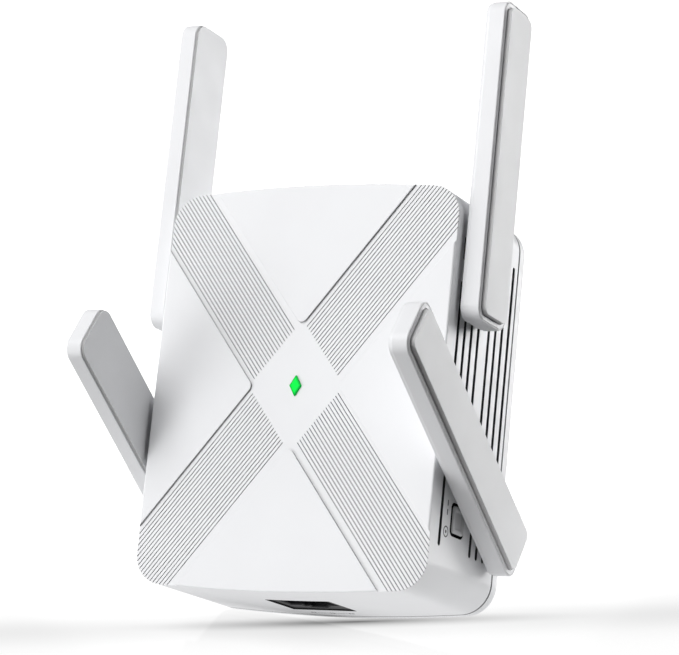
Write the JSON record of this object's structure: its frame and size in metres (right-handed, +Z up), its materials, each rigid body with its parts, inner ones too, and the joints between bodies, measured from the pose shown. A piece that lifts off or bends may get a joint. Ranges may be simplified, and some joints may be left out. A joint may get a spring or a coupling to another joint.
{
  "type": "wifi range extender",
  "caption": "Plug-in wifi range extender: white case with an X relief and green light, four flat antennas that turn on its sides, side vents and an ethernet port.",
  "frame": {"origin": "middle of the plug on the case's back face, between the blades", "axes": "+X to the right seen from the front, +Y towards the wall, +Z up"},
  "size_m": [0.085, 0.084, 0.1342],
  "materials": {
    "case_plastic": "satin moulded white plastic",
    "antenna_plastic": "satin moulded white plastic",
    "antenna_panel_plastic": "satin moulded white plastic, slightly finer texture",
    "light_guide": "clear diffusing plastic lit green from behind",
    "led_package": "small surface mounted LED",
    "socket_plastic": "black moulded plastic",
    "contact_gold": "gold plated spring wire",
    "blade_metal": "nickel plated brass blade",
    "circuit_board": "green solder mask on fibreglass board",
    "power_circuit_board": "bare brown paper board",
    "heat_spreader": "sheet aluminium",
    "shield_metal": "tinned steel can",
    "switch_plastic": "black switch body",
    "transformer_core": "ferrite core with taped winding",
    "capacitor_sleeve": "shrink sleeve with no print",
    "screw_steel": "zinc plated steel",
    "clip_steel": "spring steel"
  },
  "bodies": {
    "root": {"front_housing": "case_plastic", "back_cover": "case_plastic", "plug_block": "case_plastic", "plug_blade_left": "blade_metal", "plug_blade_right": "blade_metal", "status_light_lens": "light_guide", "ethernet_jack": "socket_plastic", "jack_contacts": "contact_gold", "main_board": "circuit_board", "status_led": "led_package", "processor_heat_spreader": "heat_spreader", "radio_shield": "shield_metal", "button_switch": "switch_plastic", "board_connector": "socket_plastic", "main_board_screw_upper_left": "screw_steel", "main_board_screw_lower_left": "screw_steel", "main_board_screw_upper_right": "screw_steel", "main_board_screw_lower_right": "screw_steel", "power_board": "power_circuit_board", "transformer": "transformer_core", "bulk_capacitor": "capacitor_sleeve", "power_board_screw_1": "screw_steel", "power_board_screw_2": "screw_steel"},
    "wps_button": {"wps_button": "case_plastic"},
    "antenna_upper_left": {"antenna_upper_left_body": "antenna_plastic", "antenna_upper_left_panel": "antenna_panel_plastic", "antenna_upper_left_radiator": "circuit_board", "antenna_upper_left_hinge": "antenna_plastic", "antenna_upper_left_clip": "clip_steel"},
    "antenna_upper_right": {"antenna_upper_right_body": "antenna_plastic", "antenna_upper_right_panel": "antenna_panel_plastic", "antenna_upper_right_radiator": "circuit_board", "antenna_upper_right_hinge": "antenna_plastic", "antenna_upper_right_clip": "clip_steel"},
    "antenna_lower_left": {"antenna_lower_left_body": "antenna_plastic", "antenna_lower_left_panel": "antenna_panel_plastic", "antenna_lower_left_radiator": "circuit_board", "antenna_lower_left_hinge": "antenna_plastic", "antenna_lower_left_clip": "clip_steel"},
    "antenna_lower_right": {"antenna_lower_right_body": "antenna_plastic", "antenna_lower_right_panel": "antenna_panel_plastic", "antenna_lower_right_radiator": "circuit_board", "antenna_lower_right_hinge": "antenna_plastic", "antenna_lower_right_clip": "clip_steel"}
  },
  "joints": [
    {"name": "antenna_upper_left_turn", "type": "hinge", "parent": "root", "child": "antenna_upper_left", "pos_m": [-0.037, -0.02845, 0.0265], "axis": [1, 0, 0], "range_deg": [-10, 80]},
    {"name": "antenna_upper_right_turn", "type": "hinge", "parent": "root", "child": "antenna_upper_right", "pos_m": [0.037, -0.02845, 0.0265], "axis": [1, 0, 0], "range_deg": [-10, 80]},
    {"name": "antenna_lower_left_turn", "type": "hinge", "parent": "root", "child": "antenna_lower_left", "pos_m": [-0.037, -0.013, -0.0255], "axis": [1, 0, 0], "range_deg": [-9.6, 122.4]},
    {"name": "antenna_lower_right_turn", "type": "hinge", "parent": "root", "child": "antenna_lower_right", "pos_m": [0.037, -0.013, -0.0255], "axis": [1, 0, 0], "range_deg": [-9.6, 122.4]},
    {"name": "wps_button_press", "type": "slide", "parent": "root", "child": "wps_button", "axis": [-1, 0, 0], "range_m": [0, 0.0006], "stiffness_N_per_m": 300}
  ]
}
